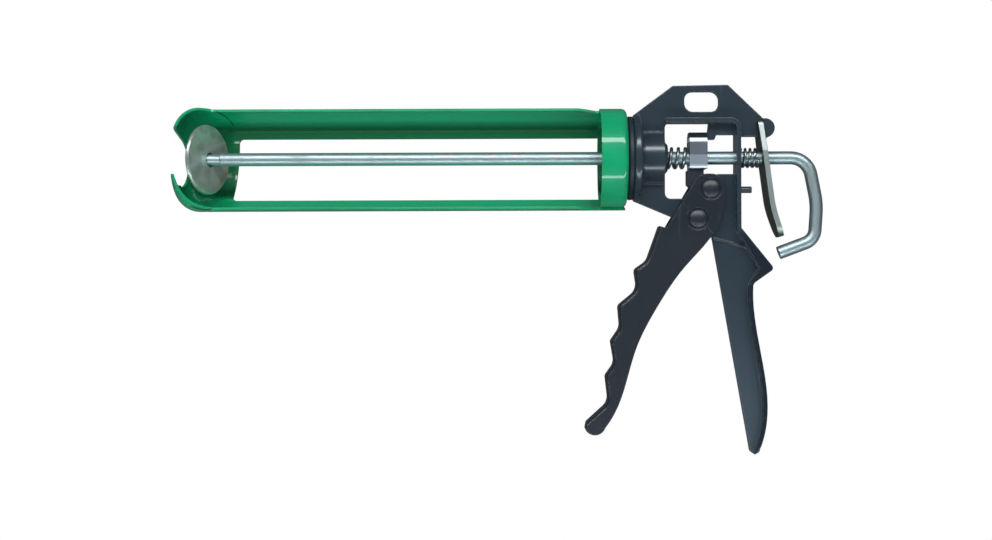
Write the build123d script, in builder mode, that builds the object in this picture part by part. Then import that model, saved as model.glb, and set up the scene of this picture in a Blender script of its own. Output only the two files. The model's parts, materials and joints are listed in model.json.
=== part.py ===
"""Skeleton caulking gun for 310 ml cartridges.

Millimetres. +X runs to the rear along the push rod, +Z is up, and the cradle
opens towards -Y. The origin is the cartridge seat: the cup's floor on the rod axis.
"""

import math
import os

from build123d import *

os.makedirs("parts", exist_ok=True)

# Fits shared by several pieces
rod_radius = 3.5
rod_running = 0.06
part_gap = 0.3
edge_break = 0.5
tool_overrun = 5.0

# Cartridge cradle
cup_radius = 26.3
cup_wall = 1.3
cup_depth = 12.8
cup_corner = 3.0
shell_wall = 1.4
shell_front = -237.9
nose_land = 1.5
hoop_rear = -208.3
hoop_skew = 2.8
hoop_corner = 2.5
tongue_end = 0.6
tongue_start = -24.0
tongue_corner = 5.0
cradle_turn = 12.0
rail_near_angle = -2.0
rail_far_angle = 51.0
tongue_near_angle = 7.0
lobe_reach = 17.5
lobe_slant = 4.0
lobe_start = 6.0
nozzle_slot_width = 26.0
nozzle_slot_rise = 0.7
nozzle_slot_reach = 8.5

# Swivel joint between cradle and frame
spigot_radius = 12.0
swivel_running = 0.08
swivel_play = 0.05
washer_radius = 22.2
washer_thick = 3.2
washer_bevel = 1.0
inner_washer_radius = 17.0
inner_washer_thick = 1.4
circlip_thick = 1.2
circlip_radius = 14.2
circlip_depth = 1.0
circlip_mouth = 7.0
spigot_lip = 1.4

# Frame casting
flange_radius = 23.3
flange_thick = 4.2
flange_round = 1.8
hub_run = 1.6
boss_radius = 14.2
boss_shoulder = 21.0
boss_nose_radius = 9.4
boss_end = 23.1
boss_tip_radius = 7.2
web_thick = 5.5
lip_width = 16.0
lip_thick = 2.3
lip_corner = 5.5
top_edge = 38.7
top_front = 25.9
top_rear = 55.2
shoulder_low = (25.0, -31.2)
window_front = 21.7
window_top = 18.7
window_bottom = -21.6
window_corner = 3.0
wall_inner = 59.2
ledge_height = -8.6
ledge_front = 49.7
stop_height = 12.3
tooth_height = 9.8
tooth_length = 4.0
tooth_slant = 1.0
hang_slot_length = 18.4
hang_slot_height = 10.8
hang_slot_centre = (41.3, 29.8)
hang_slot_corner = 4.6
head_centre = (74.2, 15.4)
head_radius = 5.1
head_flat = 0.4
head_width = 15.0
finger_underside = 11.3
peg_height = -16.9
peg_radius = 1.75
peg_length = 6.4
horn_root = -37.3
horn_tip = (78.9, -58.9)
horn_tip_round = 2.0
neck_back = (67.7, -66.8)
neck_round = 3.0
handle_mid = (71.7, -104.5)
handle_bulge = (74.9, -135.0)
foot_back = (71.4, -153.0)
foot_low = (68.2, -157.0)
foot_front = (66.2, -154.2)
handle_front_top = (46.7, -42.0)
rib_thick = 1.4
rib_height = 1.0
rib_rear = (65.0, -46.8)

# Trigger and its rivets
pivot = (38.7, -32.4)
pivot_boss_radius = 8.0
drive_arm = 17.2
drive_lean = 23.3
cheek_gap = 12.0
cheek_thick = 3.0
cheek_side_play = 0.3
cheek_shoulder = (22.4, -36.6)
ear_radius = 7.9
ear_widening = 2.0
ear_step = 0.5
ear_collar_radius = 6.4
ear_lean = 46.0
pad_thick = 3.4
pad_lean = 16.7
pad_edge = 2.0
crest_radius = 2.8
groove_radius = 7.0
pad_top = (18.4, -36.2)
pad_corners = [
    (11.8, -54.6),
    (5.2, -59.1),
    (6.7, -69.8),
    (-3.5, -78.2),
    (-2.5, -89.9),
    (-7.5, -97.0),
    (-5.5, -108.7),
    (-10.4, -115.5),
    (-8.8, -129.5),
]
pad_foot = (-20.4, -140.0)
cheek_rear = [(51.6, -30.2), (45.0, -42.6), (31.5, -57.9), (17.0, -78.8), (5.9, -100.5), (-3.5, -130.3)]
toe_back = (-10.6, -142.5)
toe_low = (-15.8, -146.4)
toe_front = (-21.1, -143.6)
rivet_shank = 3.0
rivet_head_radius = 4.8
rivet_head_rim = 0.6
rivet_dome = 1.3
spot_radius = 5.7
spot_depth = 0.5
drive_shank = 2.2
sleeve_radius = 3.3

# Grip driver and its spring
driver_front = 34.4
driver_length = 9.4
driver_width = 16.0
driver_top = 13.4
driver_bottom = -5.8
driver_bevel_run = 0.9
driver_bevel_rise = 2.2
driver_roof_run = 3.6
driver_roof_rise = 3.2
driver_tail_front = 33.4
driver_tail_end = -19.2
driver_tail_width = 10.8
driver_tail_slant = 5.0
driver_tail_drop = 1.0
driver_tail_root = 2.0
drive_gap = 0.2
return_wire = 1.55
return_outer = 11.6
return_pitch = 4.0
return_seat = 14.0
return_bore = 12.6

# Release lever and its spring
lever_thick = 2.7
lever_lean = 7.6
tab_lean = 18.6
lever_top = 19.2
lever_bend = -26.7
lever_foot = -41.9
lever_bend_radius = 60.0
lever_width = 22.0
lever_top_width = 17.0
lever_shoulder = 3.4
lever_foot_taper = 2.0
lever_hole = 8.2
lever_foot_round = 7.0
lever_top_round = 3.0
fork_play = 0.4
fork_drop = 1.2
release_wire = 1.3
release_outer = 10.6
release_pitch = 2.6

# Plunger and the rod's two ends
plunger_x = -220.3
plunger_radius = 18.6
plunger_wall = 1.4
plunger_rim = 1.6
plunger_corner = 1.2
plunger_dome = 1.0
plunger_hub = 6.0
plunger_rock = 25.0
plunger_hole = 3.9
neck_radius = 2.9
neck_length = 5.8
plunger_washer_radius = 5.6
plunger_washer_thick = 1.1
plunger_washer_back = 3.7
nut_flats = 8.4
nut_thick = 4.0
neck_spare = 1.0
hook_bend = (97.8, 0.0)
hook_back = (102.6, -24.5)
hook_low = (101.3, -43.5)
hook_end = (82.3, -50.6)
hook_top_radius = 11.0
hook_back_radius = 40.0
hook_low_radius = 8.0

# Spring wire is drawn as a many-sided section
wire_sides = 12

# Places that follow from the sizes above
shell_radius = cup_radius + shell_wall
nose_corner = shell_radius - nozzle_slot_width / 2 - nozzle_slot_rise - nose_land
nose_bend = shell_front + nose_corner
flange_front = cup_wall + swivel_play + washer_thick
flange_back = flange_front + flange_thick
inner_washer_front = -swivel_play - inner_washer_thick
circlip_front = inner_washer_front - circlip_thick
spigot_front = circlip_front - spigot_lip
wall_outer = wall_inner + lip_thick
lip_top = window_top + lip_thick
cheek_inner = cheek_gap / 2
cheek_outer = cheek_inner + cheek_thick
rivet_seat = cheek_outer - spot_depth
pad_half = cheek_outer - ear_step
driver_back = driver_front + driver_length
lean = math.radians(drive_lean)
drive_pin = (pivot[0] + drive_arm * math.sin(lean), pivot[1] + drive_arm * math.cos(lean))
turn = math.radians(cradle_turn)
opening = Vector(0, -math.cos(turn), math.sin(turn))
upward = Vector(0, math.sin(turn), math.cos(turn))
cradle_plan = Plane(origin=(0, 0, 0), x_dir=(1, 0, 0), z_dir=opening)
cradle_side = Plane(origin=(0, 0, 0), x_dir=(1, 0, 0), z_dir=-upward)
lever_slope = math.tan(math.radians(lever_lean))
tab_slope = math.tan(math.radians(tab_lean))
lever_half = lever_thick / 2 / math.cos(math.radians(lever_lean))
head_face = head_centre[0] - head_flat
lever_mid_x = head_face - part_gap - lever_half


def lever_x(height):
    """Middle line of the straight lever plate at a height."""
    return lever_mid_x + (head_centre[1] - height) * lever_slope


def tangent_point(centre, radius, start):
    """Point where a line from start touches a circle on its upper left side."""
    reach = math.hypot(start[0] - centre[0], start[1] - centre[1])
    angle = math.atan2(start[1] - centre[1], start[0] - centre[0]) - math.acos(radius / reach)
    return (centre[0] + radius * math.cos(angle), centre[1] + radius * math.sin(angle))


def helix_point(start, radius, pitch, turns):
    """Place and direction on a helix round the rod after some turns."""
    angle = 2 * math.pi * turns
    place = Vector(start + pitch * turns, radius * math.sin(angle), radius * math.cos(angle))
    way = Vector(pitch / (2 * math.pi), radius * math.cos(angle), -radius * math.sin(angle))
    return place, way.normalized()


def arc_middle(place, way, end):
    """Middle of the arc that leaves a place along a direction and meets an end."""
    chord = end - place
    straight = chord.normalized()
    side = way - straight * way.dot(straight)
    rise = chord.length / 2 * math.tan(math.acos(min(1.0, way.dot(straight))) / 2)
    return place + chord * 0.5 + side.normalized() * rise


def biarc_join(first, second):
    """Meeting place of the two arcs that join two directed points."""
    span = second[0] - first[0]
    sum_way = first[1] + second[1]
    a = 2 * (1 - first[1].dot(second[1]))
    b = 2 * span.dot(sum_way)
    reach = (-b + math.sqrt(b * b + 4 * a * span.dot(span))) / (2 * a)
    return (first[0] + first[1] * reach + second[0] - second[1] * reach) * 0.5


def coil_spring(start, end, outer, wire, pitch):
    """Coil spring round the rod, swept along two arcs for each half turn."""
    radius = (outer - wire) / 2
    turns = (end - start) / pitch
    halves = max(2, round(turns * 2))
    stations = [helix_point(start, radius, pitch, turns * i / halves) for i in range(halves + 1)]
    with BuildPart() as spring:
        with BuildLine():
            for first, second in zip(stations, stations[1:]):
                join = biarc_join(first, second)
                ThreePointArc(first[0], arc_middle(first[0], first[1], join), join)
                ThreePointArc(join, arc_middle(second[0], -second[1], join), second[0])
        with BuildSketch(Plane(stations[0][0], z_dir=stations[0][1])):
            RegularPolygon(wire / 2, wire_sides)
        sweep()
    return spring


def least_gap(start, end, outer, wire, pitch):
    """Least clear distance between turns, measured on points of the helix."""
    radius = (outer - wire) / 2
    per_turn = 48
    steps = int((end - start) / pitch * per_turn)
    spots = [helix_point(start, radius, pitch, i / per_turn)[0] for i in range(steps + 1)]
    later = range(per_turn // 2, steps + 1)
    return min((spots[i] - spots[i - k]).length for k in later for i in range(k, steps + 1)) - wire


def domed_rivet(place, shank_radius):
    """Rivet across the trigger with a low domed head on each cheek."""
    crown = rivet_seat + rivet_head_rim
    head_edge = place[0] + rivet_head_radius
    with BuildPart() as rivet:
        with BuildSketch(Plane.XY.offset(place[1])):
            with BuildLine():
                Polyline(
                    (head_edge, crown),
                    (head_edge, rivet_seat),
                    (place[0] + shank_radius, rivet_seat),
                    (place[0] + shank_radius, -rivet_seat),
                    (head_edge, -rivet_seat),
                    (head_edge, -crown),
                )
                TangentArc((place[0], -crown - rivet_dome), (head_edge, -crown), tangent=(1, 0))
                Line((place[0], -crown - rivet_dome), (place[0], crown + rivet_dome))
                TangentArc((place[0], crown + rivet_dome), (head_edge, crown), tangent=(1, 0))
            make_face()
        revolve(axis=Axis((place[0], 0, place[1]), (0, 1, 0)))
    return rivet


# Cradle shell: domed nose and two rails drawn from one sheet
with BuildPart() as cradle_shell:
    with BuildSketch(Plane.XZ):
        with BuildLine():
            outer_flat = shell_radius - nose_corner
            slot_edge = outer_flat - nose_land
            nose_inside = shell_front + shell_wall
            Line((tongue_end, shell_radius), (nose_bend, shell_radius))
            TangentArc((nose_bend, shell_radius), (shell_front, outer_flat), tangent=(-1, 0))
            Polyline(
                (shell_front, outer_flat),
                (shell_front, slot_edge),
                (nose_inside, slot_edge),
                (nose_inside, outer_flat),
            )
            TangentArc((nose_bend, cup_radius), (nose_inside, outer_flat), tangent=(-1, 0))
            Polyline((nose_bend, cup_radius), (tongue_end, cup_radius), (tongue_end, shell_radius))
        make_face()
    revolve(axis=Axis.X)
    # Mouth that the cartridge enters by: straight along the rails, slanted across the nose lobes
    with BuildSketch(cradle_side):
        with BuildLine():
            rail_u = -shell_radius * math.sin(math.radians(rail_near_angle))
            tongue_u = -shell_radius * math.sin(math.radians(tongue_near_angle))
            far_u = shell_radius + tool_overrun
            Polyline(
                (tongue_end + tool_overrun, tongue_u),
                (-cup_depth - shell_wall, tongue_u),
                (tongue_start, rail_u),
                (nose_bend + lobe_start, rail_u),
                (nose_inside, lobe_reach),
                (shell_front - tool_overrun, lobe_reach + lobe_slant),
                (shell_front - tool_overrun, far_u),
                (tongue_end + tool_overrun, far_u),
                close=True,
            )
        make_face()
        fillet(vertices().sort_by(Axis.X)[2:4], tongue_corner)
    extrude(amount=shell_radius + tool_overrun, both=True, mode=Mode.SUBTRACT)
    # Gap between the rails on the far side
    with BuildSketch(cradle_plan):
        with BuildLine():
            rail_v = shell_radius * math.cos(math.radians(rail_far_angle))
            Polyline(
                (hoop_rear, rail_v),
                (tongue_end + tool_overrun, rail_v),
                (tongue_end + tool_overrun, -rail_v),
                (hoop_rear - hoop_skew, -rail_v),
                close=True,
            )
        make_face()
        fillet(vertices().sort_by(Axis.X)[:2], hoop_corner)
    extrude(amount=-(shell_radius + tool_overrun), mode=Mode.SUBTRACT)
    # Nozzle slot through the dome
    nozzle_plane = Plane(origin=(shell_front - edge_break, 0, 0), x_dir=opening, z_dir=(-1, 0, 0))
    with BuildSketch(nozzle_plane):
        with Locations((-nozzle_slot_reach, nozzle_slot_rise)):
            Circle(nozzle_slot_width / 2)
            Rectangle(2 * shell_radius, nozzle_slot_width, align=(Align.MIN, Align.CENTER))
    extrude(amount=-(nose_corner + edge_break), mode=Mode.SUBTRACT)

# Cradle cup: drawn ring with a holed floor
with BuildPart() as cradle_cup:
    with BuildSketch(Plane.XZ):
        with BuildLine():
            cup_inside = cup_radius - cup_wall
            hole_edge = spigot_radius + swivel_running
            Polyline(
                (0, hole_edge),
                (cup_wall, hole_edge),
                (cup_wall, cup_radius),
                (-cup_depth, cup_radius),
                (-cup_depth, cup_inside),
                (0, cup_inside),
                close=True,
            )
        make_face()
        fillet(vertices().sort_by_distance((0, cup_inside))[:1], cup_corner - cup_wall)
        fillet(vertices().sort_by_distance((cup_wall, cup_radius))[:1], cup_corner)
    revolve(axis=Axis.X)

# Friction washer between cup and frame
with BuildPart() as swivel_washer:
    with BuildSketch(Plane.XZ):
        with BuildLine():
            washer_front = cup_wall + swivel_play
            Polyline(
                (washer_front, spigot_radius + swivel_running),
                (flange_front, spigot_radius + swivel_running),
                (flange_front, washer_radius - washer_bevel / 2),
                (flange_front - washer_bevel / 2, washer_radius),
                (washer_front + washer_bevel, washer_radius),
                (washer_front, washer_radius - washer_bevel),
                close=True,
            )
        make_face()
    revolve(axis=Axis.X)

# Washer inside the cup
with BuildPart() as swivel_inner_washer:
    with BuildSketch(Plane.YZ.offset(inner_washer_front)):
        Circle(inner_washer_radius)
        Circle(spigot_radius + swivel_running, mode=Mode.SUBTRACT)
    extrude(amount=inner_washer_thick)

# Open circlip in the spigot's groove
with BuildPart() as swivel_circlip:
    with BuildSketch(Plane.YZ.offset(circlip_front)):
        Circle(circlip_radius)
        Circle(spigot_radius - circlip_depth, mode=Mode.SUBTRACT)
        with Locations((0, circlip_radius)):
            mouth_depth = 2 * (circlip_radius - spigot_radius + 2 * circlip_depth)
            Rectangle(circlip_mouth, mouth_depth, mode=Mode.SUBTRACT)
    extrude(amount=circlip_thick)

# Frame casting: turned front, web, lip, wall, horn and handle
with BuildPart() as frame_casting:
    half_lip = lip_width / 2
    half_web = web_thick / 2
    web_front = flange_front + edge_break
    web_reach = flange_radius - edge_break
    lip_start = (neck_back[0] - lip_thick, neck_back[1] - lip_thick / 2)
    # Web with the window and the handle
    with BuildSketch(Plane.XZ):
        with BuildLine():
            Polyline(
                (web_front, web_reach),
                (top_front, top_edge - edge_break),
                (top_rear, top_edge),
                (head_centre[0], head_centre[1] + head_radius),
                (head_centre[0], finger_underside),
                (wall_outer, finger_underside),
                (wall_outer, horn_root),
                horn_tip,
                neck_back,
            )
            Spline(neck_back, handle_mid, handle_bulge, foot_back)
            ThreePointArc(foot_back, foot_low, foot_front)
            Polyline(
                foot_front,
                handle_front_top,
                (pivot[0] + pivot_boss_radius / 4, pivot[1] - pivot_boss_radius),
                (pivot[0] - pivot_boss_radius * 0.75, pivot[1] - pivot_boss_radius * 0.75),
                shoulder_low,
                (web_front, -web_reach),
                (web_front, web_reach),
            )
        make_face()
        fillet(vertices().sort_by_distance(horn_tip)[:1], horn_tip_round)
        fillet(vertices().sort_by_distance(neck_back)[:1], neck_round)
    extrude(amount=half_web, both=True)
    # Lip over the window that runs on as rear wall, horn and handle back
    with BuildSketch(Plane.XZ):
        with BuildLine():
            Polyline(
                lip_start,
                (horn_tip[0] - 3.4 * lip_thick, horn_tip[1] + edge_break),
                (wall_inner, horn_root - lip_thick / 2),
                (wall_inner, window_top),
                (window_front, window_top),
                (window_front, lip_top),
                (wall_outer, lip_top),
                (wall_outer, horn_root),
                horn_tip,
                neck_back,
            )
            Spline(neck_back, handle_mid, handle_bulge, foot_back)
            Line(foot_back, foot_low)
            Spline(
                foot_low,
                (handle_bulge[0] - lip_thick, handle_bulge[1]),
                (handle_mid[0] - lip_thick, handle_mid[1]),
                lip_start,
            )
        make_face()
        fillet(vertices().sort_by_distance((wall_outer, lip_top))[:1], lip_corner)
        fillet(vertices().sort_by_distance((wall_inner, window_top))[:1], lip_corner - lip_thick)
        fillet(vertices().sort_by_distance(horn_tip)[:1], horn_tip_round)
        fillet(vertices().sort_by_distance(neck_back)[:1], neck_round)
        fillet(vertices().sort_by_distance(lip_start)[:1], neck_round)
    extrude(amount=half_lip, both=True)
    # Window, with the driver's stop tooth hanging from its roof, and the hang slot
    with BuildSketch(Plane.XZ):
        with BuildLine():
            tooth_front = driver_back + part_gap
            tooth_back = tooth_front + tooth_length
            Polyline(
                (window_front, window_top),
                (tooth_front + tooth_slant, window_top),
                (tooth_front, tooth_height),
                (tooth_back, tooth_height),
                (tooth_back + tooth_slant, stop_height),
                (wall_inner, stop_height),
                (wall_inner, ledge_height),
                (ledge_front, ledge_height),
                (ledge_front, window_bottom),
                (window_front, window_bottom),
                close=True,
            )
        make_face()
        fillet(vertices().group_by(Axis.X)[0], window_corner)
        with Locations(hang_slot_centre):
            RectangleRounded(hang_slot_length, hang_slot_height, hang_slot_corner)
    extrude(amount=half_lip + edge_break, both=True, mode=Mode.SUBTRACT)
    # Turned front end: spigot, flange, boss and its bores
    with BuildSketch(Plane.XZ):
        with BuildLine():
            bore = rod_radius + rod_running
            Polyline(
                (spigot_front, bore),
                (spigot_front, spigot_radius - edge_break),
                (spigot_front + edge_break, spigot_radius),
                (flange_front, spigot_radius),
                (flange_front, flange_radius),
                (flange_back, flange_radius),
                (flange_back + hub_run, boss_radius),
                (boss_shoulder, boss_radius),
                (boss_shoulder, boss_nose_radius),
                (boss_end, boss_tip_radius),
                (boss_end, bore),
                close=True,
            )
        make_face()
        fillet(vertices().sort_by(Axis.Y)[-2:], flange_round)
    revolve(axis=Axis.X)
    with BuildSketch(Plane.YZ.offset(boss_end)):
        Circle(return_bore / 2)
    extrude(amount=-(boss_end - return_seat), mode=Mode.SUBTRACT)
    with BuildSketch(Plane.YZ.offset(spigot_front)):
        Circle(bore)
    extrude(amount=wall_outer - spigot_front + edge_break, mode=Mode.SUBTRACT)
    with BuildSketch(Plane.YZ.offset(circlip_front)):
        Circle(spigot_radius + edge_break)
        Circle(spigot_radius - circlip_depth, mode=Mode.SUBTRACT)
    extrude(amount=circlip_thick, mode=Mode.SUBTRACT)
    # Wide head of the lever finger, with a flat that the lever bears on
    with BuildSketch(Plane.XZ):
        with Locations(head_centre):
            Circle(head_radius)
        with Locations((head_face - head_radius, head_centre[1])):
            Rectangle(2 * head_radius, 4 * head_radius, rotation=lever_lean, mode=Mode.SUBTRACT)
    extrude(amount=head_width / 2, both=True)
    # Lever stop peg on the rear wall
    with BuildSketch(Plane.YZ.offset(wall_outer)):
        with Locations((0, peg_height)):
            Circle(peg_radius)
    extrude(amount=peg_length)
    # Thin rib across the top of the handle
    with BuildSketch(Plane.XZ):
        with BuildLine():
            Polyline(
                handle_front_top,
                rib_rear,
                (rib_rear[0], rib_rear[1] - rib_thick),
                (handle_front_top[0] + rib_thick / 4, handle_front_top[1] - rib_thick),
                close=True,
            )
        make_face()
    extrude(amount=half_web + rib_height, both=True)
    # Trigger pivot boss and bore
    with BuildSketch(Plane.XZ):
        with Locations(pivot):
            Circle(pivot_boss_radius)
    extrude(amount=cheek_inner - cheek_side_play, both=True)
    with BuildSketch(Plane.XZ):
        with Locations(pivot):
            Circle(rivet_shank + rod_running)
    extrude(amount=cheek_outer, both=True, mode=Mode.SUBTRACT)

# Trigger: two cheeks with raised ears and a finger-grooved front wall
pad_shift = (pad_thick * math.cos(math.radians(pad_lean)), -pad_thick * math.sin(math.radians(pad_lean)))
pad_outer = [pad_top, *pad_corners, pad_foot]
pad_inner = [(p[0] + pad_shift[0], p[1] + pad_shift[1]) for p in pad_outer]
pad_radii = [groove_radius, *([crest_radius, groove_radius] * (len(pad_corners) // 2))]
ear_front = (drive_pin[0] - ear_widening, drive_pin[1])
ear_touch = tangent_point(ear_front, ear_radius, cheek_shoulder)
with BuildPart() as trigger:
    with BuildSketch(Plane.XZ):
        with BuildLine():
            wave = FilletPolyline(pad_outer, radius=pad_radii)
            Line(pad_foot, toe_front)
            ThreePointArc(toe_front, toe_low, toe_back)
            Line(toe_back, pad_inner[-1])
            FilletPolyline(pad_inner, radius=pad_radii)
            Line(pad_inner[0], pad_top)
        make_face()
    extrude(amount=pad_half, both=True)
    rims = [Vector(e.center().X, side * pad_half, e.center().Y) for e in wave.edges() for side in (-1, 1)]
    fillet([edges().sort_by_distance(rim)[0] for rim in rims], pad_edge)
    with BuildSketch(Plane.XZ.offset(cheek_inner)):
        with BuildLine():
            ear_peak = (ear_front[0], ear_front[1] + ear_radius)
            ear_crown = (drive_pin[0], ear_peak[1])
            ear_end = (drive_pin[0] + ear_radius, drive_pin[1])
            FilletPolyline(pad_inner, radius=pad_radii)
            Polyline(pad_inner[0], cheek_shoulder, ear_touch)
            TangentArc(ear_touch, ear_peak, tangent=Vector(*ear_touch) - Vector(*cheek_shoulder))
            Line(ear_peak, ear_crown)
            TangentArc(ear_crown, ear_end, tangent=(1, 0))
            Spline(ear_end, *cheek_rear, toe_back)
            ThreePointArc(toe_back, toe_low, toe_front)
            Line(toe_front, pad_inner[-1])
        make_face()
    extrude(amount=cheek_thick)
    # Below a slanted line through the pivot the cheek steps in, flush with the front wall
    with BuildSketch(Plane.XZ.offset(pad_half)):
        body_reach = pad_top[1] - toe_low[1]
        with Locations(Location((*pivot, 0), -ear_lean)):
            with Locations((0, -body_reach)):
                Rectangle(4 * body_reach, 2 * body_reach)
        with Locations(pivot):
            Circle(ear_collar_radius, mode=Mode.SUBTRACT)
    extrude(amount=ear_step + edge_break, mode=Mode.SUBTRACT)
    with BuildSketch(Plane.XZ.offset(rivet_seat)):
        with Locations(pivot, drive_pin):
            Circle(spot_radius)
    extrude(amount=spot_depth + edge_break, mode=Mode.SUBTRACT)
    mirror(about=Plane.XZ)
    with BuildSketch(Plane.XZ):
        with Locations(pivot):
            Circle(rivet_shank)
        with Locations(drive_pin):
            Circle(drive_shank)
    extrude(amount=cheek_outer, both=True, mode=Mode.SUBTRACT)

# Rivets of the trigger: the pivot and the drive pin
trigger_pivot_rivet = domed_rivet(pivot, rivet_shank)
drive_pin_rivet = domed_rivet(drive_pin, drive_shank)

# Sleeve on the drive pin, between the cheeks
with BuildPart() as drive_sleeve:
    with BuildSketch(Plane.XZ):
        with Locations(drive_pin):
            Circle(sleeve_radius)
            Circle(drive_shank, mode=Mode.SUBTRACT)
    extrude(amount=cheek_inner, both=True)

# Grip driver: bevelled block on the rod with a tail for the sleeve to push
with BuildPart() as grip_driver:
    half_driver = driver_width / 2
    bevel_edge = half_driver - driver_bevel_run
    with BuildSketch(Plane.YZ.offset(driver_front)):
        with BuildLine():
            Polyline(
                (-bevel_edge, driver_bottom),
                (-half_driver, driver_bottom + driver_bevel_rise),
                (-half_driver, driver_top - driver_roof_rise - driver_bevel_rise),
                (-bevel_edge, driver_top - driver_roof_rise),
                (driver_roof_run - bevel_edge, driver_top),
                (bevel_edge - driver_roof_run, driver_top),
                (bevel_edge, driver_top - driver_roof_rise),
                (half_driver, driver_top - driver_roof_rise - driver_bevel_rise),
                (half_driver, driver_bottom + driver_bevel_rise),
                (bevel_edge, driver_bottom),
                close=True,
            )
        make_face()
    extrude(amount=driver_length)
    with BuildSketch(Plane.XZ):
        tail_back = drive_pin[0] - sleeve_radius - drive_gap
        with BuildLine():
            Polyline(
                (driver_tail_front, driver_bottom - driver_tail_drop),
                (driver_tail_front, driver_tail_end + driver_tail_slant),
                (driver_tail_front + driver_tail_slant, driver_tail_end),
                (tail_back, driver_tail_end),
                (tail_back, driver_bottom + driver_tail_root),
                (driver_front, driver_bottom + driver_tail_root),
                (driver_front, driver_bottom - driver_tail_drop),
                close=True,
            )
        make_face()
    extrude(amount=driver_tail_width / 2, both=True)
    with BuildSketch(Plane.YZ.offset(driver_front - edge_break)):
        Circle(rod_radius + rod_running)
    extrude(amount=driver_length + 2 * edge_break, mode=Mode.SUBTRACT)

# Return spring in the boss bore, which pushes the driver back
return_size = (return_outer, return_wire, return_pitch)
return_start = return_seat + return_wire / 2 + part_gap / 2
return_stop = driver_front - return_wire / 2 - part_gap / 2
return_spring = coil_spring(return_start, return_stop, *return_size)
print(f"return spring least gap to itself {least_gap(return_start, return_stop, *return_size):.2f} mm")

# Release lever: forked plate with a bent thumb tab
with BuildPart() as release_lever:
    with BuildSketch(Plane.XZ):
        with BuildLine():
            FilletPolyline(
                (lever_x(lever_top), lever_top),
                (lever_x(lever_bend), lever_bend),
                (lever_x(lever_bend) + (lever_bend - lever_foot) * tab_slope, lever_foot),
                radius=lever_bend_radius,
            )
        trace(line_width=lever_thick)
    extrude(amount=lever_width / 2, both=True)
    with BuildSketch(Plane.YZ):
        with BuildLine():
            half_lever = lever_width / 2
            half_top = lever_top_width / 2
            half_foot = half_lever - lever_foot_taper
            Polyline(
                (-half_top, lever_top + edge_break),
                (-half_lever, lever_shoulder),
                (-half_lever, lever_bend),
                (-half_foot, lever_foot - edge_break),
                (half_foot, lever_foot - edge_break),
                (half_lever, lever_bend),
                (half_lever, lever_shoulder),
                (half_top, lever_top + edge_break),
                close=True,
            )
        make_face()
        fillet(vertices().group_by(Axis.Y)[0], lever_foot_round)
        fillet(vertices().group_by(Axis.Y)[-1], lever_top_round)
    extrude(amount=2 * head_centre[0], mode=Mode.INTERSECT)
    with BuildSketch(Plane.YZ):
        Circle(lever_hole / 2)
        with Locations((0, finger_underside - fork_drop + lever_top / 2)):
            Rectangle(web_thick + 2 * fork_play, lever_top)
    extrude(amount=2 * head_centre[0], mode=Mode.SUBTRACT)

# Release spring between the rear wall and the lever
release_size = (release_outer, release_wire, release_pitch)
release_start = wall_outer + release_wire / 2 + part_gap / 2
release_stop = lever_x(release_outer / 2) - lever_half - release_wire / 2 - part_gap / 2
release_spring = coil_spring(release_start, release_stop, *release_size)
print(f"release spring least gap to itself {least_gap(release_start, release_stop, *release_size):.2f} mm")

# Push rod: reduced neck at the front, pull hook at the rear
with BuildPart() as push_rod:
    neck_back_x = plunger_x + neck_length
    rod_start = neck_back_x + edge_break
    neck_end = plunger_x - plunger_washer_back - plunger_washer_thick - nut_thick - neck_spare
    upper_mid = ((hook_bend[0] + hook_back[0]) / 2, (hook_bend[1] + hook_back[1]) / 2)
    lower_mid = ((hook_back[0] + hook_low[0]) / 2, (hook_back[1] + hook_low[1]) / 2)
    with BuildLine(Plane.XZ):
        FilletPolyline((rod_start, 0), hook_bend, upper_mid, radius=hook_top_radius)
        FilletPolyline(upper_mid, hook_back, lower_mid, radius=hook_back_radius)
        FilletPolyline(lower_mid, hook_low, hook_end, radius=hook_low_radius)
    with BuildSketch(Plane.YZ.offset(rod_start)):
        Circle(rod_radius)
    sweep()
    with BuildSketch(Plane.XZ):
        with BuildLine():
            Polyline(
                (neck_end, 0),
                (neck_end, neck_radius - edge_break),
                (neck_end + edge_break, neck_radius),
                (neck_back_x, neck_radius),
                (neck_back_x, rod_radius - edge_break),
                (rod_start, rod_radius),
                (rod_start, 0),
                close=True,
            )
        make_face()
    revolve(axis=Axis.X)

# Plunger plate: shallow pressed dish, standing tilted on the rod's neck
rock = math.radians(plunger_rock)
plunger_axis = Axis((plunger_x, 0, 0), (math.cos(rock), -math.sin(rock), 0))
plunger_plane = Plane(
    origin=(plunger_x, 0, 0),
    x_dir=(math.cos(rock), -math.sin(rock), 0),
    z_dir=(-math.sin(rock), -math.cos(rock), 0),
)
with BuildPart() as plunger_plate:
    with BuildSketch(plunger_plane):
        with BuildLine():
            half_wall = plunger_wall / 2
            rim_inside = plunger_radius - plunger_wall
            rim_front = half_wall - plunger_dome - plunger_rim
            dome_edge = (half_wall - plunger_dome, plunger_radius)
            dome_inside = (-half_wall - plunger_dome, rim_inside)
            TangentArc((half_wall, plunger_hub), dome_edge, tangent=(0, 1))
            Polyline(dome_edge, (rim_front, plunger_radius), (rim_front, rim_inside), dome_inside)
            TangentArc((-half_wall, plunger_hub), dome_inside, tangent=(0, 1))
            Polyline(
                (-half_wall, plunger_hub),
                (-half_wall, plunger_hole),
                (half_wall, plunger_hole),
                (half_wall, plunger_hub),
            )
        make_face()
        fillet(vertices().sort_by_distance(dome_edge)[:1], plunger_corner)
    revolve(axis=plunger_axis)

# Loose washer and nut that keep the plunger on the neck
washer_x = plunger_x - plunger_washer_back
with BuildPart() as plunger_washer:
    with BuildSketch(Plane.YZ.offset(washer_x)):
        Circle(plunger_washer_radius)
        Circle(neck_radius + rod_running, mode=Mode.SUBTRACT)
    extrude(amount=-plunger_washer_thick)

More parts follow.
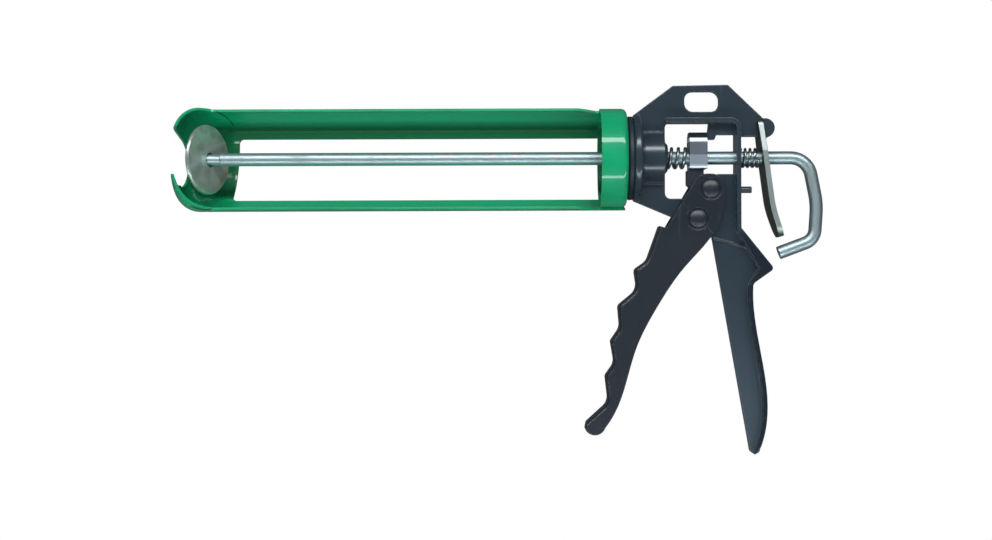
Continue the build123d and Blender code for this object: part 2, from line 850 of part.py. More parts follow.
with BuildPart() as plunger_nut:
    with BuildSketch(Plane.YZ.offset(washer_x - plunger_washer_thick)):
        RegularPolygon(nut_flats / 2, 6, major_radius=False)
        Circle(neck_radius, mode=Mode.SUBTRACT)
    extrude(amount=-nut_thick)

pieces = {
    "frame_casting": frame_casting,
    "swivel_washer": swivel_washer,
    "swivel_inner_washer": swivel_inner_washer,
    "swivel_circlip": swivel_circlip,
    "cradle_shell": cradle_shell,
    "cradle_cup": cradle_cup,
    "trigger": trigger,
    "trigger_pivot_rivet": trigger_pivot_rivet,
    "drive_pin_rivet": drive_pin_rivet,
    "drive_sleeve": drive_sleeve,
    "grip_driver": grip_driver,
    "return_spring": return_spring,
    "release_lever": release_lever,
    "release_spring": release_spring,
    "push_rod": push_rod,
    "plunger_plate": plunger_plate,
    "plunger_washer": plunger_washer,
    "plunger_nut": plunger_nut,
}
for name, piece in pieces.items():
    piece.part.label = name
    export_step(piece.part, f"parts/{name}.step")
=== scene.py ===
# %% [markdown]
# A skeleton caulking gun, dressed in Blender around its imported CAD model.

import json
import math

import bmesh
import bpy
import numpy as np
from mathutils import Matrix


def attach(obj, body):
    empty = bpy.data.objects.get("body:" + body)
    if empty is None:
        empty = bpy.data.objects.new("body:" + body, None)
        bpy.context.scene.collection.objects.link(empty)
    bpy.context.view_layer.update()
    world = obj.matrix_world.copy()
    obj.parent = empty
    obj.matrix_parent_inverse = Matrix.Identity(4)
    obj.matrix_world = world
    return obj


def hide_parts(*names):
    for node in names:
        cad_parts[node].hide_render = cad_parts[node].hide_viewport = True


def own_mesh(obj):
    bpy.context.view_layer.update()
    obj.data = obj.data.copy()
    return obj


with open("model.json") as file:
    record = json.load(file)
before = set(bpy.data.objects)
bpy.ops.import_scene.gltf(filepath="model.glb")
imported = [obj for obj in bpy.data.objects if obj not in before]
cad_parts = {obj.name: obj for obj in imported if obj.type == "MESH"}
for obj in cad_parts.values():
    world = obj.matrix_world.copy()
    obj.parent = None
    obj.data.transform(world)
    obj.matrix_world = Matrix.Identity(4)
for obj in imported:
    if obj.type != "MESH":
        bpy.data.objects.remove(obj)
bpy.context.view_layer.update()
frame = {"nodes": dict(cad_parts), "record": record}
nodes = frame["nodes"]
scene = bpy.context.scene
scene.view_settings.view_transform = "Standard"

# %% [markdown]
# The photograph looks straight at the side of the gun from a little under a metre away.
# A perspective camera level with the middle of the picture, with a small sideways shift
# and a slight roll, gives the same framing. Two pixels fix it: the one the camera's axis
# goes through, and the one where the cartridge seat lies.

# %% Camera at the photograph's viewing angle
MM = 0.001
IMAGE_WIDTH = 992
PIXELS_PER_MM = 1.88
CAMERA_DISTANCE = 850.0
AXIS_PIXEL = (520.0, 270.0)
SEAT_PIXEL = (624.0, 158.8)
CAMERA_ROLL = 0.2
SENSOR = 36.0

camera_data = bpy.data.cameras.new("camera")
camera_data.sensor_width = SENSOR
camera_data.lens = PIXELS_PER_MM * CAMERA_DISTANCE / IMAGE_WIDTH * SENSOR
camera_data.shift_x = (IMAGE_WIDTH / 2 - AXIS_PIXEL[0]) / IMAGE_WIDTH
camera_data.clip_start = 0.01
camera = bpy.data.objects.new("camera", camera_data)
scene.collection.objects.link(camera)
camera.location = (
    (AXIS_PIXEL[0] - SEAT_PIXEL[0]) / PIXELS_PER_MM * MM,
    -CAMERA_DISTANCE * MM,
    (SEAT_PIXEL[1] - AXIS_PIXEL[1]) / PIXELS_PER_MM * MM,
)
camera.rotation_euler = (math.pi / 2, math.radians(CAMERA_ROLL), 0)
scene.camera = camera
print("camera at", [round(v, 4) for v in camera.location], "lens", round(camera_data.lens, 1))

# %% [markdown]
# A finish is a small graph of shader nodes. Written by hand, each Math node takes four
# lines. This class wraps one socket, so that a plain Python expression adds the Math nodes,
# and its one method adds any other node with its settings and its sockets.


# %% A socket that does arithmetic
class Shade:
    """One output socket of a node tree."""

    def __init__(self, tree, socket=None):
        self.tree = tree
        self.socket = socket

    def node(self, kind, settings=None, sockets=None, output=0):
        """Add a node: settings first, then a value or a link for each input socket."""
        made = self.tree.nodes.new(kind)
        for name, value in (settings or {}).items():
            setattr(made, name, value)
        for name, value in (sockets or {}).items():
            if isinstance(value, Shade):
                self.tree.links.new(value.socket, made.inputs[name])
            else:
                made.inputs[name].default_value = value
        return Shade(self.tree, made.outputs[output])

    def math(self, operation, first, second):
        """Add one Math node."""
        return self.node("ShaderNodeMath", {"operation": operation}, {0: first, 1: second})

    def __add__(self, other):
        return self.math("ADD", self, other)

    def __radd__(self, other):
        return self.math("ADD", other, self)

    def __sub__(self, other):
        return self.math("SUBTRACT", self, other)

    def __rsub__(self, other):
        return self.math("SUBTRACT", other, self)

    def __mul__(self, other):
        return self.math("MULTIPLY", self, other)

    def __rmul__(self, other):
        return self.math("MULTIPLY", other, self)


def tone(red, green, blue):
    """Linear colour with alpha, from a colour as a screen shows it, 0 to 255."""
    share = np.array((red, green, blue)) / 255
    linear = np.where(share <= 0.04045, share / 12.92, ((share + 0.055) / 1.055) ** 2.4)
    return (*linear.tolist(), 1.0)


# %% [markdown]
# Paint, plating and bare steel share a few patterns: cloudy patches, streaks that follow the
# way the metal was drawn, and edges that hands and tools have rubbed. All of them read Object
# coordinates, which here are metres in the gun's own frame, so a scale of 1000 is a feature
# of one millimetre.


# %% Patterns that the finishes share
def clouds(place, scale, detail=3.0, stretch=None):
    """Noise from 0 to 1 at so many features a metre, squeezed along each axis by stretch."""
    at = place
    if stretch is not None:
        at = place.node("ShaderNodeMapping", None, {"Vector": place, "Scale": stretch})
    return place.node("ShaderNodeTexNoise", None, {"Vector": at, "Scale": scale, "Detail": detail})


def rise(value, low, high):
    """Smooth step: 0 below low, 1 above high."""
    sockets = {"Value": value, "From Min": low, "From Max": high}
    return value.node("ShaderNodeMapRange", {"interpolation_type": "SMOOTHSTEP"}, sockets)


def between(mask, first, second):
    """Colour that goes from first to second as the mask goes from 0 to 1."""
    return mask.node("ShaderNodeMix", {"data_type": "RGBA"}, {0: mask, 6: first, 7: second}, 2)


def softened_edge(place, radius):
    """Normal rounded over a radius, and a mask that is 1 on the edges it rounds."""
    soft = place.node("ShaderNodeBevel", {"samples": 6}, {"Radius": radius})
    true = place.node("ShaderNodeNewGeometry", None, None, "Normal")
    same = place.node("ShaderNodeVectorMath", {"operation": "DOT_PRODUCT"}, {0: soft, 1: true}, "Value")
    return soft, rise(1 - same, 0.01, 0.12)


def relief(height, distance, normal):
    """Bump of a height pattern, in metres, on top of a normal."""
    sockets = {"Height": height, "Distance": distance, "Normal": normal}
    return height.node("ShaderNodeBump", None, sockets)


def near_point(place, point, reach):
    """Mask round a point: 1 at the point, 0 at the reach, both in metres."""
    sockets = {0: place, 1: point}
    away = place.node("ShaderNodeVectorMath", {"operation": "DISTANCE"}, sockets, "Value")
    return 1 - rise(away, 0.0, reach)


def start_finish(name, constants):
    """New material: its Object coordinates, and its shader with the constant sockets set."""
    material = bpy.data.materials.new(name)
    material.use_nodes = True
    shader = material.node_tree.nodes["Principled BSDF"]
    for socket, value in constants.items():
        shader.inputs[socket].default_value = value
    place = Shade(material.node_tree).node("ShaderNodeTexCoord", None, None, "Object")
    return material, place, shader


def feed(shader, sockets):
    """Link each pattern to its socket of the shader."""
    for name, value in sockets.items():
        value.tree.links.new(value.socket, shader.inputs[name])
    print("finish", shader.id_data.name, "nodes", len(shader.id_data.nodes))


# %% [markdown]
# The cradle is drawn from sheet steel and sprayed with gloss green. Sprayed paint is never
# flat: it has a fine orange peel, slightly cloudy colour where the coat is thicker, and
# rubbed spots along its edges. Inside the rails the colour is a little lighter and even. On
# the far side of the cradle the green is painted dark, as painted shade. Two short arcs by
# the nose, one above and one below, are painted dark lines, as painted shade along creases.
# A clear coat carries the sharp highlights.

# %% Green paint
PAINT_GREEN = tone(14, 166, 112)
PAINT_DEEP = tone(10, 146, 94)
PAINT_INSIDE = tone(16, 168, 114)
# painted shade: the darker green of the cradle's far side
PAINT_FAR_SHADE = tone(8, 106, 62)
PAINT_RUBBED = tone(96, 128, 104)
# painted shade: the dark line along the creases by the nose
CREASE_SHADE_COLOUR = tone(4, 52, 30)
CREASE_X = -0.2213
CREASE_Z = 0.0147
CREASE_RADIUS = 0.012
CREASE_SPLIT = -0.2172
CREASE_BLUR = 0.001
UPPER_CREASE_FOOT = 0.0188
UPPER_CREASE_FULL = 0.0203
LOWER_CREASE_TOP = 0.0245
LOWER_CREASE_FULL = 0.0255
INSIDE_BELOW = 0.0264
OUTSIDE_ABOVE = 0.0268
RAIL_START = 0.016
RAIL_FULL = 0.019
NOSE_START = 0.203
NOSE_FULL = 0.212
FAR_SHADE_START = 0.0166
FAR_SHADE_FULL = 0.0194

green_paint, place, shader = start_finish("green_paint", {"Coat Roughness": 0.05, "IOR": 1.3})
patches = clouds(place, 28.0)
peel = clouds(place, 620.0, 2.0)
scuffs = rise(clouds(place, 90.0, 5.0, (0.25, 1.0, 1.0)), 0.64, 0.74)
edge_normal, edge = softened_edge(place, 0.0006)
rubbed = edge * rise(clouds(place, 260.0), 0.42, 0.62)
along = place.node("ShaderNodeSeparateXYZ", None, {0: place}, "X")
across = place.node("ShaderNodeSeparateXYZ", None, {0: place}, "Y")
height = place.node("ShaderNodeSeparateXYZ", None, {0: place}, "Z")
radius = place.math("SQRT", across * across + height * height, 0)
inside = rise(0 - radius, -OUTSIDE_ABOVE, -INSIDE_BELOW) * rise(0 - along, RAIL_START, RAIL_FULL)
nose = rise(0 - along, NOSE_START, NOSE_FULL)
colour = between(rise(patches, 0.35, 0.7), PAINT_GREEN, PAINT_DEEP)
colour = between(inside * (1 - nose), colour, PAINT_INSIDE)
# Painted shade: the far side of the cradle is painted darker green.
colour = between(rise(across, FAR_SHADE_START, FAR_SHADE_FULL), colour, PAINT_FAR_SHADE)
colour = between(rubbed * 0.5, colour, PAINT_RUBBED)
# Painted shade: a dark line along two short arcs by the nose, where the sheet creases.
beside = along - CREASE_X
above = place.math("ABSOLUTE", height, 0) - CREASE_Z
reach = place.math("SQRT", beside * beside + above * above, 0)
crease_shade_line = 1 - rise(place.math("ABSOLUTE", reach - CREASE_RADIUS, 0), 0.0001, 0.0006)
rearward = rise(along, CREASE_SPLIT - CREASE_BLUR, CREASE_SPLIT)
forward = rise(0 - along, 0 - CREASE_SPLIT, CREASE_BLUR - CREASE_SPLIT)
upper = rise(height, UPPER_CREASE_FOOT, UPPER_CREASE_FULL) * rearward
lower = rise(0 - height, LOWER_CREASE_TOP, LOWER_CREASE_FULL) * forward
colour = between(crease_shade_line * (upper + lower) * 0.85, colour, CREASE_SHADE_COLOUR)
feed(shader, {
    "Base Color": colour,
    "Roughness": 0.3 + patches * 0.1 + scuffs * 0.15,
    "Coat Weight": 1.0 - scuffs * 0.35,
    "Normal": relief(peel, 0.00003, edge_normal),
})

# %% [markdown]
# The frame is a light casting under satin black paint, which looks blue against white. The
# cast skin shows as a fine grain, and where the paint is thin on an edge it catches the light.
# The Bevel node rounds the shading of the sharp CAD edges, as the real ones are rounded.


# %% Black paint on the castings
RIM_SIDE = 0.0060
RIM_FULL = 0.0068
RIM_DARK = tone(24, 32, 42)
RIM_START = 0.036
RIM_WHOLE = 0.044
LOW_START = 0.05
LOW_FULL = 0.15


def satin_black(name, face, low, worn, roughness, grain):
    """Satin black paint: a face colour, one for the low end, a worn edge colour, a least
    roughness and the depth of the cast grain. The handle's raised rim is dark."""
    material, place, shader = start_finish(name, {"IOR": 1.75})
    across = place.node("ShaderNodeSeparateXYZ", None, {0: place}, "Y")
    height = place.node("ShaderNodeSeparateXYZ", None, {0: place}, "Z")
    patches = clouds(place, 45.0, 4.0)
    skin = clouds(place, 1100.0, 2.0)
    marks = rise(clouds(place, 160.0, 4.0, (1.0, 1.0, 0.15)), 0.66, 0.76)
    edge_normal, edge = softened_edge(place, 0.0009)
    chipped = edge * rise(clouds(place, 420.0), 0.38, 0.62)
    colour = between(patches, tuple(0.85 * v for v in face[:3]) + (1.0,), face)
    # Colour towards the low end; on the trigger this is painted shade.
    colour = between(rise(0 - height, LOW_START, LOW_FULL), colour, low)
    side = rise(across * across, RIM_SIDE ** 2, RIM_FULL ** 2)
    rim = side * rise(0 - height, RIM_START, RIM_WHOLE)
    colour = between(rim, colour, RIM_DARK)
    colour = between(chipped * 0.4 + marks * 0.2, colour, worn)
    feed(shader, {
        "Base Color": colour,
        "Roughness": roughness + patches * 0.08 + marks * 0.1,
        "Normal": relief(skin, grain, edge_normal),
    })
    return material


CAST_FACE = tone(45, 57, 67)
CAST_LOW = tone(64, 76, 86)
CAST_WORN = tone(92, 108, 119)
TRIGGER_FACE = tone(16, 28, 40)
# painted shade: the trigger is darker towards its low end, where its lower faces tilt away
TRIGGER_LOW_SHADE = tone(10, 20, 30)
TRIGGER_WORN = tone(48, 62, 74)
black_casting = satin_black("black_casting", CAST_FACE, CAST_LOW, CAST_WORN, 0.18, 0.000022)
black_trigger = satin_black("black_trigger", TRIGGER_FACE, TRIGGER_LOW_SHADE, TRIGGER_WORN, 0.32, 0.000012)
black_rivet = satin_black("black_rivet", TRIGGER_FACE, TRIGGER_LOW_SHADE, TRIGGER_WORN, 0.36, 0.000008)

# %% [markdown]
# The friction washer behind the cup is moulded black nylon. It is matt, with an even fine
# grain and no worn metal under it.

# %% Black nylon
NYLON_DARK = tone(26, 38, 46)
NYLON_PALE = tone(38, 52, 62)

black_nylon, place, shader = start_finish("black_nylon", {"IOR": 1.5})
grain = clouds(place, 1500.0, 2.0)
haze = clouds(place, 60.0)
edge_normal, edge = softened_edge(place, 0.0005)
feed(shader, {
    "Base Color": between(haze, NYLON_DARK, NYLON_PALE),
    "Roughness": 0.42 + grain * 0.12,
    "Normal": relief(grain, 0.000015, edge_normal),
})

# %% [markdown]
# The push rod is drawn steel with a thin zinc plating. Drawing leaves fine streaks along the
# rod, and use leaves dull bands and a dent. The streaks are noise squeezed along X, so they
# follow the rod and not the hook, where they are too fine to matter.

# %% Drawn and plated rod
DENT_POINT = (-0.1218, -0.0034, -0.0014)
DENT_REACH = 0.0012


def plated_steel(name, bright, dull, roughness, stretch, flat=None):
    """Plated steel: bright and dull colours, a middle roughness and the streaks' stretch. With
    a flat colour, faces that look along the gun are painted that darker colour as painted
    shade, and faces that look to the gun's side, such as the lever's sheared edges, keep
    the bright colours as a painted highlight."""
    material, place, shader = start_finish(name, {"IOR": 2.5})
    streaks = clouds(place, 420.0, 3.0, stretch)
    stains = rise(clouds(place, 55.0, 5.0), 0.46, 0.72)
    dent = near_point(place, DENT_POINT, DENT_REACH)
    edge_normal, edge = softened_edge(place, 0.0004)
    colour = between(stains * 0.55 + dent * 0.4, bright, dull)
    # Edges are painted brighter: partly wear on the edges, partly a painted highlight.
    colour = between(edge * 0.5, colour, bright)
    # Painted shade and painted highlight: the colour depends on which way a face looks.
    if flat:
        facing = place.node("ShaderNodeTexCoord", None, None, "Normal")
        sideways = place.node("ShaderNodeSeparateXYZ", None, {0: facing}, "Y")
        colour = between(rise(sideways * sideways, 0.3, 0.6), flat, colour)
    shader.inputs["Metallic"].default_value = 1.0
    feed(shader, {
        "Base Color": colour,
        "Roughness": roughness + streaks * 0.12 + stains * 0.08,
        "Normal": relief(streaks - dent * 3.0, 0.000005, edge_normal),
    })
    return material


ROD_STREAKS = (0.02, 1.0, 1.0)
LEVER_STREAKS = (1.0, 1.0, 0.06)
EVEN_STREAKS = (1.0, 1.0, 1.0)
ROD_BRIGHT = tone(206, 224, 228)
ROD_DULL = tone(168, 184, 182)
ZINC_BRIGHT = tone(206, 216, 212)
ZINC_DULL = tone(150, 156, 148)
# painted shade: the darker zinc colour of faces that look along the gun
ZINC_FACING_SHADE = tone(104, 106, 96)
WIRE_BRIGHT = tone(196, 206, 210)
WIRE_DULL = tone(140, 146, 146)
rod_steel = plated_steel("rod_steel", ROD_BRIGHT, ROD_DULL, 0.40, ROD_STREAKS)
zinc_steel = plated_steel("zinc_steel", ZINC_BRIGHT, ZINC_DULL, 0.40, LEVER_STREAKS, ZINC_FACING_SHADE)
spring_steel = plated_steel("spring_steel", WIRE_BRIGHT, WIRE_DULL, 0.26, EVEN_STREAKS)

# %% [markdown]
# The driver is a machined block, duller than the rod. Its colour is painted in bands by height:
# a dark tail, a scraped face painted lighter below its middle and darker above it as a painted
# reflection, two chamfers painted bright as painted highlights, and a roof painted dark as
# painted shade.

# %% Machined driver
ROOF_FOOT = 0.0105
FACE_TOP = 0.0084
FACE_STEP = 0.0014
FACE_FOOT = -0.0046
TAIL_TOP = -0.0056
BAND_BLUR = 0.0002
# painted highlight on the chamfers, painted reflection in two tones on the face, painted shade on the
# roof; the tail is dark
DRIVER_CHAMFER_HIGHLIGHT = tone(232, 242, 247)
DRIVER_UPPER_REFLECTION = tone(104, 114, 125)
DRIVER_LOWER_REFLECTION = tone(150, 160, 174)
DRIVER_DARK_TAIL_AND_ROOF_SHADE = tone(40, 52, 64)

driver_steel, place, shader = start_finish("driver_steel", {"IOR": 2.0, "Metallic": 0.5})
height = place.node("ShaderNodeSeparateXYZ", None, {0: place}, "Z")
strokes = clouds(place, 420.0, 3.0, LEVER_STREAKS)
edge_normal, edge = softened_edge(place, 0.0004)
# Bands from the tail up: dark tail, highlighted chamfer, lower face, upper face, highlighted chamfer,
# shaded roof.
bands = [
    (TAIL_TOP, DRIVER_CHAMFER_HIGHLIGHT),
    (FACE_FOOT, DRIVER_LOWER_REFLECTION),
    (FACE_STEP, DRIVER_UPPER_REFLECTION),
    (FACE_TOP, DRIVER_CHAMFER_HIGHLIGHT),
    (ROOF_FOOT, DRIVER_DARK_TAIL_AND_ROOF_SHADE),
]
colour = DRIVER_DARK_TAIL_AND_ROOF_SHADE
for foot, face in bands:
    colour = between(rise(height, foot - BAND_BLUR, foot + BAND_BLUR), colour, face)
feed(shader, {
    "Base Color": colour,
    "Roughness": 0.34 + strokes * 0.14,
    "Normal": relief(strokes, 0.000012, edge_normal),
})

# %% [markdown]
# The plunger is a pressed plate with dull zinc plating, the one part that sealant and damp
# have reached: it is cloudy, finely pitted, and brown in a patch on its far side.

# %% Dull plunger plate
RUST_POINT = (-0.2165, 0.012, -0.0068)
RUST_REACH = 0.013
RUST_BROWN = tone(118, 92, 66)
PLATE_BRIGHT = tone(222, 234, 226)
PLATE_CLOUDY = tone(176, 190, 176)

plunger_zinc, place, shader = start_finish("plunger_zinc", {"IOR": 2.5})
bloom = clouds(place, 130.0, 5.0)
pits = clouds(place, 900.0, 3.0)
rust = near_point(place, RUST_POINT, RUST_REACH) * rise(bloom, 0.36, 0.6)
edge_normal, edge = softened_edge(place, 0.0005)
colour = between(rise(bloom, 0.3, 0.75), PLATE_BRIGHT, PLATE_CLOUDY)
colour = between(rust * 0.8, colour, RUST_BROWN)
feed(shader, {
    "Base Color": colour,
    "Metallic": 0.75 - rust * 0.6,
    "Roughness": 0.24 + bloom * 0.16 + rust * 0.25,
    "Normal": relief(pits, 0.00002, edge_normal),
})

# %% [markdown]
# Each CAD node keeps its mesh and takes the finish of the slot that the record names for it.

# %% Dress the CAD nodes
finishes = {
    "green_paint": green_paint,
    "black_casting": black_casting,
    "black_trigger": black_trigger,
    "black_rivet": black_rivet,
    "black_nylon": black_nylon,
    "rod_steel": rod_steel,
    "zinc_steel": zinc_steel,
    "spring_steel": spring_steel,
    "driver_steel": driver_steel,
    "plunger_zinc": plunger_zinc,
}
for part in frame["record"]["subparts"]:
    mesh = nodes[part["node"]].data
    mesh.materials.clear()
    mesh.materials.append(finishes[part["material_slot"]])

# %% [markdown]
# A coil spring is wound from round wire, and its last turn lies flat against its neighbour so
# that it stands square. The CAD spring is a plain many-sided helix. Here the wire is a circle
# carried along a helix whose pitch eases to one wire width at both ends, worked out as whole
# arrays: rows along the wire, columns round it.


# %% Wound springs
def tube_piece(name, rows, finish):
    """Closed tube through rows of points: a quad between neighbours, a flat face on each end."""
    count, sides, _ = rows.shape
    index = np.arange(count * sides).reshape(count, sides)
    around = np.roll(index, -1, axis=1)
    quads = np.stack([index[:-1], index[1:], around[1:], around[:-1]], axis=-1).reshape(-1, 4)
    faces = [*quads.tolist(), index[0].tolist(), index[-1][::-1].tolist()]
    mesh = bpy.data.meshes.new(name)
    mesh.from_pydata(rows.reshape(-1, 3).tolist(), [], faces)
    smooth = np.ones(len(faces), dtype=bool)
    smooth[-2:] = False
    mesh.polygons.foreach_set("use_smooth", smooth)
    mesh.materials.append(finish)
    piece = bpy.data.objects.new(name, mesh)
    scene.collection.objects.link(piece)
    body = bmesh.new()
    body.from_mesh(mesh)
    print(name, "faces", len(faces), "volume mm3", round(body.calc_volume(signed=True) * 1e9, 1))
    body.free()
    return piece


def wound_wire(start, end, mean_radius, wire_radius, turns):
    """Rows of a wire on a helix round X: the pitch is one wire width at both ends and opens
    smoothly to a wider one between them, so that the whole fills start to end."""
    turn = np.linspace(0, turns, int(turns * STEPS_PER_TURN) + 1)
    ease = np.clip(np.minimum(turn, turns - turn) / CLOSED_TURN, 0, 1)
    ease = ease * ease * (3 - 2 * ease)
    first = start + wire_radius
    last = end - wire_radius
    closed = (1 - ease) * wire_radius * CLOSED_PITCH
    open_pitch = ((last - first) / turns - closed.mean()) / ease.mean()
    pitch = closed + open_pitch * ease
    steps = (pitch[1:] + pitch[:-1]) / 2 * np.diff(turn)
    along = first + np.concatenate([[0], np.cumsum(steps)])
    angle = 2 * np.pi * turn
    outward = np.stack([np.zeros_like(angle), np.sin(angle), np.cos(angle)], axis=-1)
    line = outward * mean_radius
    line[:, 0] = along
    way = np.gradient(line, axis=0)
    way /= np.linalg.norm(way, axis=1, keepdims=True)
    across = np.cross(way, outward)
    round_wire = np.linspace(0, 2 * np.pi, WIRE_SIDES, endpoint=False)
    ring = outward[:, None] * np.cos(round_wire)[:, None] + across[:, None] * np.sin(round_wire)[:, None]
    return line[:, None] + wire_radius * ring


CLOSED_TURN = 0.6
CLOSED_PITCH = 2.04
STEPS_PER_TURN = 56
WIRE_SIDES = 18
RETURN_SEAT = 0.014
RETURN_START = RETURN_SEAT + 0.0001
RETURN_MEAN = 0.0051
RETURN_WIRE = 0.0009
RETURN_END = 0.03425
RETURN_TURNS = 5.3
RELEASE_SEAT = 0.0616
RELEASE_MEAN = 0.00465
RELEASE_WIRE = 0.00075
RELEASE_END = 0.0720
RELEASE_TURNS = 3.7

return_rows = wound_wire(RETURN_START, RETURN_END, RETURN_MEAN, RETURN_WIRE, RETURN_TURNS)
return_coil = tube_piece("return_coil", return_rows, spring_steel)
release_rows = wound_wire(RELEASE_SEAT, RELEASE_END, RELEASE_MEAN, RELEASE_WIRE, RELEASE_TURNS)
release_coil = tube_piece("release_coil", release_rows, spring_steel)
for coil, node in ((return_coil, "return_spring"), (release_coil, "release_spring")):
    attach(coil, "frame")
    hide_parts(node)
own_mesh(return_coil)
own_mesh(release_coil)

# %% [markdown]
# Behind the plunger a few turns of the neck's thread show as bright rings. A thread is a
# cylinder whose radius depends on both the angle and the distance along it: one wave for
# each pitch, shifted by one pitch for each turn.


# %% Thread on the rod's neck
def neck_thread(start, end, root, depth, pitch):
    """Rows of a thread round X: radius is root plus a rounded ridge whose phase is the
    distance along in pitches less the angle in turns; the ridge fades at both ends."""
    along = np.linspace(start, end, THREAD_ROWS)[:, None]
    angle = np.linspace(0, 2 * np.pi, THREAD_SIDES, endpoint=False)[None, :]
    phase = along / pitch - angle / (2 * np.pi)
    ridge = (0.5 + 0.5 * np.cos(2 * np.pi * phase)) ** 0.7
    fade = np.clip(np.minimum(along - start, end - along) / (pitch / 2), 0, 1)
    radius = root + depth * ridge * fade
    spread = np.broadcast_to(along, radius.shape)
    return np.stack([spread, -radius * np.sin(angle), radius * np.cos(angle)], axis=-1)


THREAD_START = -0.2179
THREAD_END = -0.2146
THREAD_ROOT = 0.00261
THREAD_DEPTH = 0.00024
THREAD_PITCH = 0.0013
THREAD_ROWS = 72
THREAD_SIDES = 48
thread_rows = neck_thread(THREAD_START, THREAD_END, THREAD_ROOT, THREAD_DEPTH, THREAD_PITCH)
thread = tube_piece("neck_thread", thread_rows, zinc_steel)
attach(thread, "rod")

# %% [markdown]
# The photograph was lit by a long strip above and a narrower one below, both along the gun:
# each round part shows one sharp line above its middle and another under it. Two area lamps do
# the same. Three wide ones, one of them behind, fill the rest softly, and are kept out of
# reflections, which would turn the colours grey. All are hidden from the camera.

# %% Lamps
UPPER_ANGLE = 39.0
RIM_ANGLE = 46.0
FILL_ANGLE = 28.0
UNDER_ANGLE = 78.0
BACK_ANGLE = 150.0
LAMP_X = -0.05
COOL = (0.93, 0.98, 1.0)
COOLER = (0.85, 0.95, 1.0)
UNDER_COOL = (0.9, 0.97, 1.0)
PLAIN = (1.0, 1.0, 1.0)


def lamp_along_gun(name, angle, distance, length, width, power, colour, mirrored=True):
    """Area lamp along X, at an angle above the camera's side, aimed at the rod; a soft fill
    lamp isn't mirrored by glossy surfaces."""
    data = bpy.data.lights.new(name, "AREA")
    data.shape = "RECTANGLE"
    data.size = length
    data.size_y = width
    data.energy = power
    data.color = colour
    lamp = bpy.data.objects.new(name, data)
    scene.collection.objects.link(lamp)
    turn = math.radians(angle)
    lamp.location = (LAMP_X, -distance * math.cos(turn), distance * math.sin(turn))
    lamp.rotation_euler = (math.pi / 2 - turn, 0, 0)
    lamp.visible_camera = False
    lamp.visible_glossy = mirrored
    print(name, [round(v, 3) for v in lamp.location])


lamp_along_gun("upper_strip", UPPER_ANGLE, 0.9, 1.6, 0.17, 7.2, COOL)
lamp_along_gun("lower_rim", -RIM_ANGLE, 0.45, 1.4, 0.05, 1.5, COOLER)
lamp_along_gun("top_fill", FILL_ANGLE, 1.1, 1.6, 0.9, 3.8, PLAIN, False)
lamp_along_gun("under_fill", -UNDER_ANGLE, 0.5, 0.9, 0.3, 0.4, UNDER_COOL, False)
lamp_along_gun("back_fill", BACK_ANGLE, 1.1, 1.6, 0.9, 7.0, PLAIN, False)

# %% [markdown]
# The world is the white backdrop to the camera, and faintly behind the gun in reflections. The
# rest of the room is dim, a little brighter on the camera's side, so that a dark face towards
# the camera still shows a soft sheen. Diffuse surfaces get a little more of it from all round.

# %% World
ROOM_DIM = (0.06, 0.065, 0.07, 1.0)
ROOM_FRONT = (0.08, 0.1, 0.115, 1.0)
WHITE = (1.0, 1.0, 1.0, 1.0)
ROOM_SOFT = 0.1
BACKDROP_SHEEN = 0.06
FLOOR_SHEEN = 0.06
FLOOR_MIRRORED = tone(70, 74, 76)

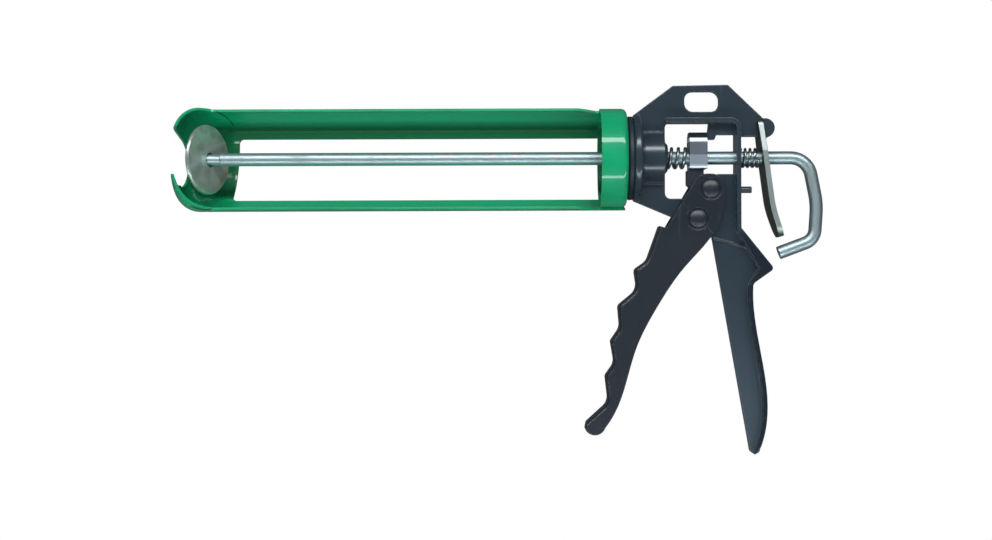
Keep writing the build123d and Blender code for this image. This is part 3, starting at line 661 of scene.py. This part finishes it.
world = bpy.data.worlds.new("studio")
scene.world = world
world.use_nodes = True
room = Shade(world.node_tree)
way = room.node("ShaderNodeTexCoord", None, None, "Generated")
depth = room.node("ShaderNodeSeparateXYZ", None, {0: way}, "Y")
seen = room.node("ShaderNodeLightPath", None, None, "Is Camera Ray")
glossy = room.node("ShaderNodeLightPath", None, None, "Is Glossy Ray")
through = room.node("ShaderNodeLightPath", None, None, "Is Transmission Ray")
behind = rise(depth, 0.78, 0.95)
ahead = rise(0 - depth, 0.1, 0.95)
backdrop = room.math("MAXIMUM", seen + through, glossy * behind * BACKDROP_SHEEN)
scattered = room.node("ShaderNodeLightPath", None, None, "Is Diffuse Ray")
room_colour = between(ahead, ROOM_DIM, ROOM_FRONT)
room_colour = between(scattered * ROOM_SOFT, room_colour, WHITE)
room_colour = between(backdrop, room_colour, WHITE)
background = world.node_tree.nodes["Background"]
world.node_tree.links.new(room_colour.socket, background.inputs["Color"])
print("world nodes", len(world.node_tree.nodes))

# %% [markdown]
# The gun hangs over a pale floor. Near the gun the floor takes its light from the lamps and
# shows the shadow. Further off it fades to the plain white of the backdrop, so that no line
# shows where the two meet.

# %% Floor
FLOOR_HEIGHT = -0.47
FLOOR_SIZE = 6.0
FLOOR_PALE = tone(232, 232, 232)
FADE_START = 0.4
FADE_END = 0.85
NEAR_WHITE = 0.62
FAR_WHITE = 0.38

half = FLOOR_SIZE / 2
floor_mesh = bpy.data.meshes.new("floor")
corners = [(-half, -half, 0), (half, -half, 0), (half, half, 0), (-half, half, 0)]
floor_mesh.from_pydata(corners, [], [(0, 1, 2, 3)])
floor = bpy.data.objects.new("floor", floor_mesh)
floor.location.z = FLOOR_HEIGHT
scene.collection.objects.link(floor)

floor_paper, place, shader = start_finish("floor_paper", {"Roughness": 0.9})
seen = place.node("ShaderNodeLightPath", None, None, "Is Camera Ray")
glossy = place.node("ShaderNodeLightPath", None, None, "Is Glossy Ray")
through = place.node("ShaderNodeLightPath", None, None, "Is Transmission Ray")
away = place.node("ShaderNodeVectorMath", {"operation": "LENGTH"}, {0: place}, "Value")
faded = NEAR_WHITE + rise(away, FADE_START, FADE_END) * FAR_WHITE
white = (seen + glossy * FLOOR_SHEEN + through) * faded
feed(shader, {"Base Color": between(glossy, FLOOR_PALE, FLOOR_MIRRORED)})
glow = place.node("ShaderNodeEmission", None, {"Color": WHITE, "Strength": 1.0})
base = Shade(floor_paper.node_tree, shader.outputs[0])
paper = place.node("ShaderNodeMixShader", None, {0: white, 1: base, 2: glow})
output = floor_paper.node_tree.nodes["Material Output"]
floor_paper.node_tree.links.new(paper.socket, output.inputs["Surface"])
floor_mesh.materials.append(floor_paper)
print("floor at", FLOOR_HEIGHT)
